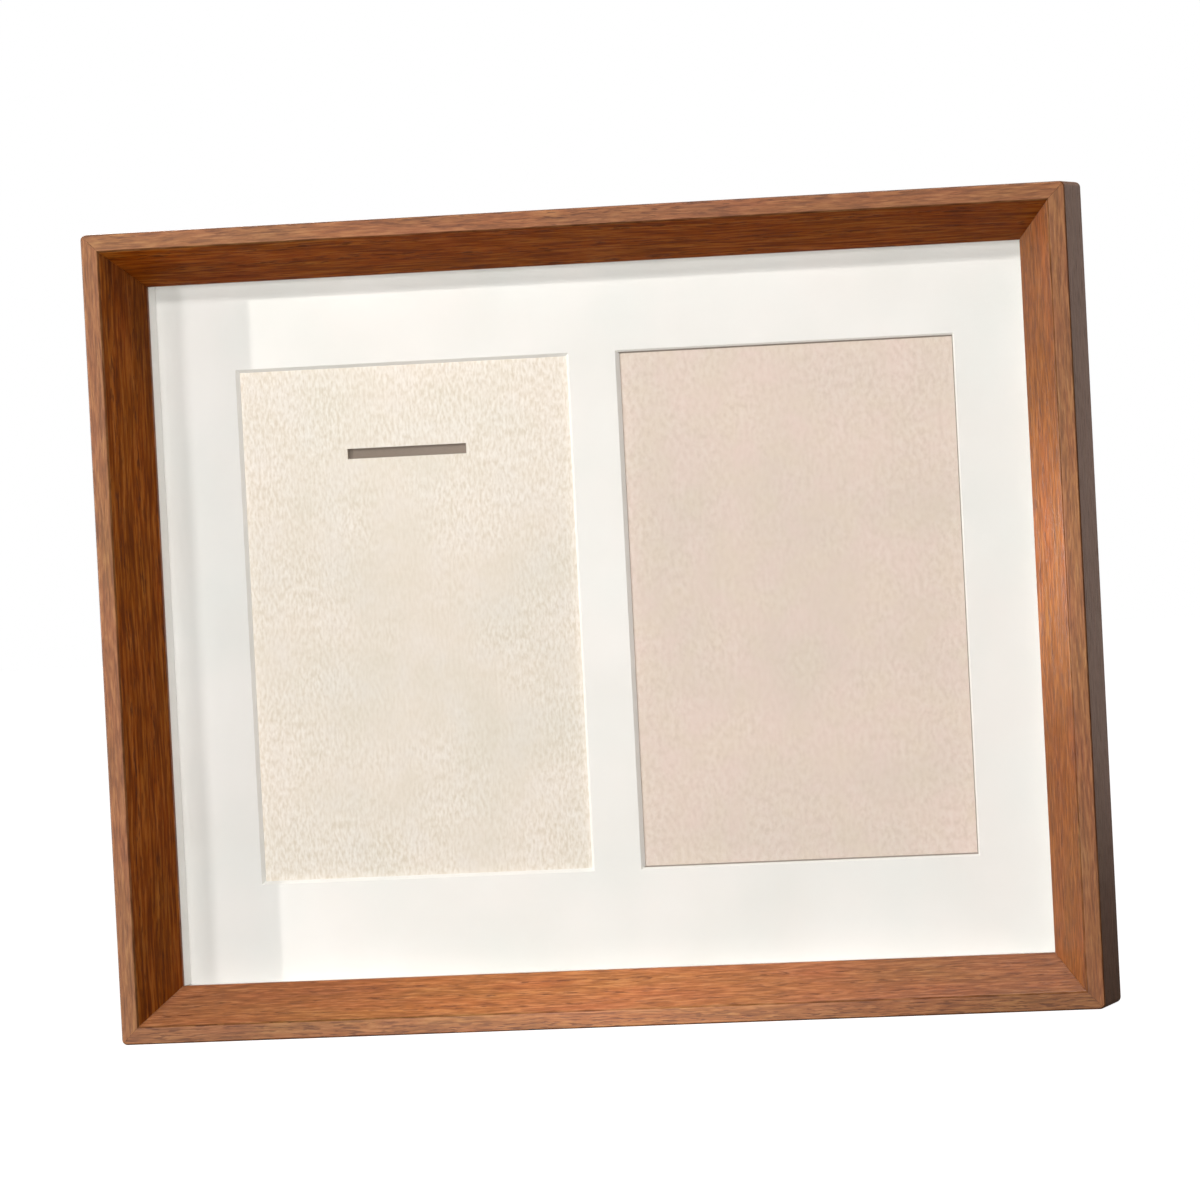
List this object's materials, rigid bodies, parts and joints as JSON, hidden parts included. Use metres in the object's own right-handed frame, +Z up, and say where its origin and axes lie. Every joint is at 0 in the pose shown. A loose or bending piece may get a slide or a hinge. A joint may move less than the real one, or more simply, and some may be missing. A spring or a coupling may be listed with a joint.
{
  "type": "medal shadow box",
  "caption": "Landscape wooden shadow box: sloped mitred moulding, glazed front, white mat with bevelled windows, slotted linen medal panel, photo panel and a back held by turn buttons.",
  "frame": {"origin": "middle of the underside of the bottom rail, where the box stands", "axes": "+X to the right as seen from the front, +Y from the front to the back, +Z up"},
  "size_m": [0.274, 0.0318, 0.223],
  "materials": {
    "stained_wood": "open-grained ash, walnut stain, satin lacquer",
    "zinc_steel": "zinc-plated pressed steel",
    "clear_glass": "clear float glass",
    "white_card": "matte white",
    "white_mat": "matte white mat board with a white core",
    "cream_linen": "board faced with cream linen",
    "beige_paper": "pinkish-beige laid paper",
    "hardboard": "brown hardboard",
    "soft_rubber": "matte"
  },
  "bodies": {
    "box": {"frame_rail_top": "stained_wood", "frame_rail_bottom": "stained_wood", "frame_rail_left": "stained_wood", "frame_rail_right": "stained_wood", "corner_v_nail_top_left": "zinc_steel", "corner_v_nail_top_right": "zinc_steel", "corner_v_nail_bottom_left": "zinc_steel", "corner_v_nail_bottom_right": "zinc_steel", "glazing_sheet": "clear_glass", "spacer_top": "white_card", "spacer_bottom": "white_card", "spacer_left": "white_card", "spacer_right": "white_card", "mat_board": "white_mat", "medal_panel": "cream_linen", "photo_panel": "beige_paper", "back_board": "hardboard", "turn_button_screw_top_left": "zinc_steel", "turn_button_screw_top_right": "zinc_steel", "turn_button_screw_bottom_left": "zinc_steel", "turn_button_screw_bottom_right": "zinc_steel", "turn_button_screw_left": "zinc_steel", "turn_button_screw_right": "zinc_steel", "sawtooth_hanger": "zinc_steel", "hanger_screw_left": "zinc_steel", "hanger_screw_right": "zinc_steel", "wall_bumper_left": "soft_rubber", "wall_bumper_right": "soft_rubber"},
    "button_top_left": {"turn_button_top_left": "zinc_steel"},
    "button_top_right": {"turn_button_top_right": "zinc_steel"},
    "button_bottom_left": {"turn_button_bottom_left": "zinc_steel"},
    "button_bottom_right": {"turn_button_bottom_right": "zinc_steel"},
    "button_left": {"turn_button_left": "zinc_steel"},
    "button_right": {"turn_button_right": "zinc_steel"}
  },
  "joints": [
    {"name": "button_top_left_turn", "type": "hinge", "parent": "box", "child": "button_top_left", "pos_m": [-0.07, 0.0143, 0.21825], "axis": [0, 1, 0], "continuous": true},
    {"name": "button_top_right_turn", "type": "hinge", "parent": "box", "child": "button_top_right", "pos_m": [0.07, 0.0143, 0.21825], "axis": [0, 1, 0], "continuous": true},
    {"name": "button_bottom_left_turn", "type": "hinge", "parent": "box", "child": "button_bottom_left", "pos_m": [-0.07, 0.0143, 0.00475], "axis": [0, 1, 0], "continuous": true},
    {"name": "button_bottom_right_turn", "type": "hinge", "parent": "box", "child": "button_bottom_right", "pos_m": [0.07, 0.0143, 0.00475], "axis": [0, 1, 0], "continuous": true},
    {"name": "button_left_turn", "type": "hinge", "parent": "box", "child": "button_left", "pos_m": [-0.13225, 0.0143, 0.1115], "axis": [0, 1, 0], "continuous": true},
    {"name": "button_right_turn", "type": "hinge", "parent": "box", "child": "button_right", "pos_m": [0.13225, 0.0143, 0.1115], "axis": [0, 1, 0], "continuous": true}
  ]
}
